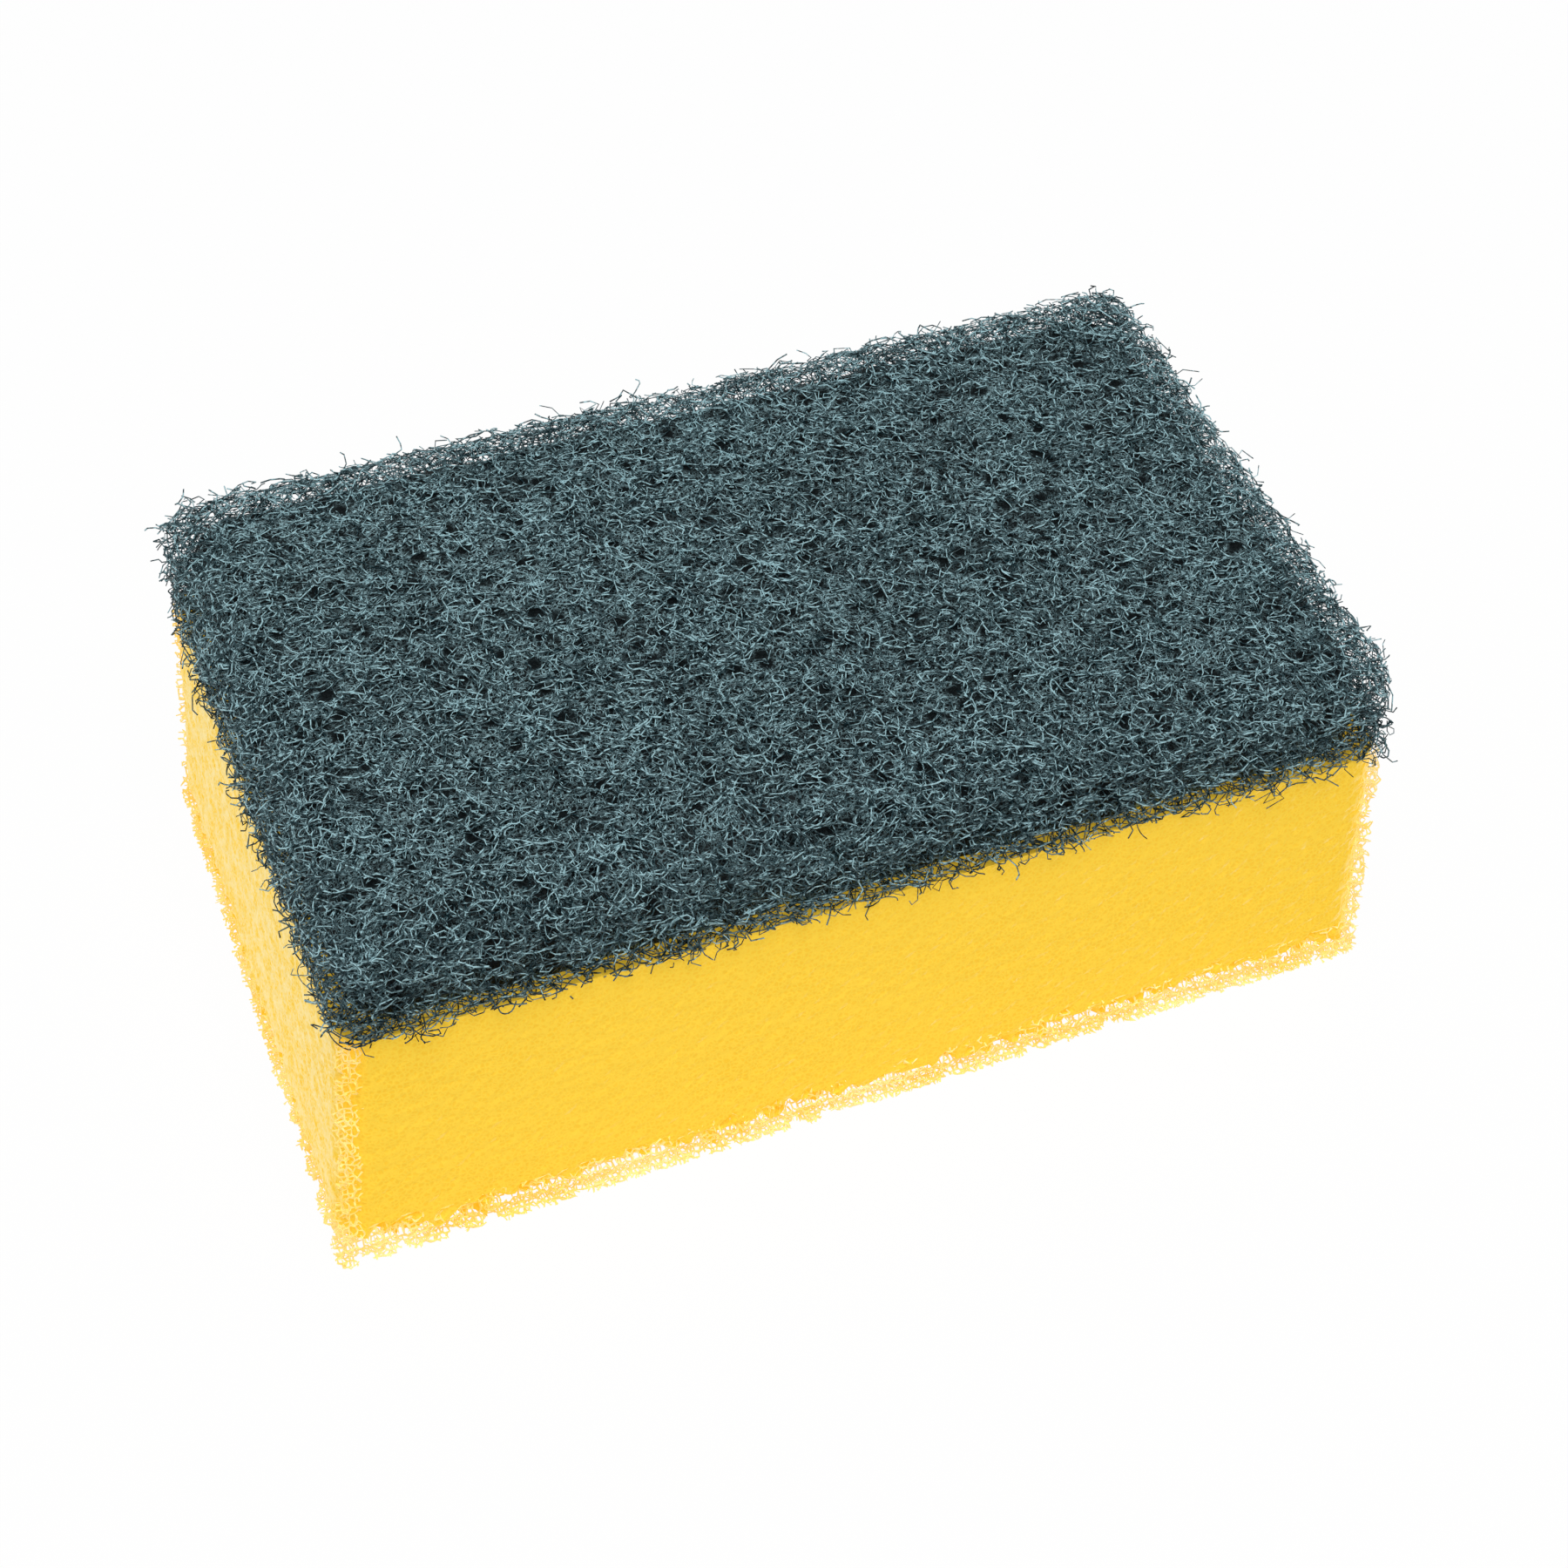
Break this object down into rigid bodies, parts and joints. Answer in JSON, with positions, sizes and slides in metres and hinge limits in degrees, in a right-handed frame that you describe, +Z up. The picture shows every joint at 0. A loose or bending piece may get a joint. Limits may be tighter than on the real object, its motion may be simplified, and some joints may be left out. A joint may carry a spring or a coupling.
{
  "type": "foam-backed nylon scouring pad",
  "caption": "Rectangular hand scourer: a soft foam block with a thick web of curled nylon fibres bonded over its top.",
  "frame": {"origin": "middle of the foam's flat base, the face the scourer rests on", "axes": "+X along the length, +Y across the width away from the front, +Z up through the foam to the nylon web"},
  "size_m": [0.1022, 0.0625, 0.039],
  "materials": {
    "foam": "soft open-cell polyurethane foam, matt",
    "nylon_web": "resin-coated curled nylon fibre, satin"
  },
  "bodies": {
    "root": {"foam_block": "foam", "scouring_web": "nylon_web"}
  },
  "joints": []
}
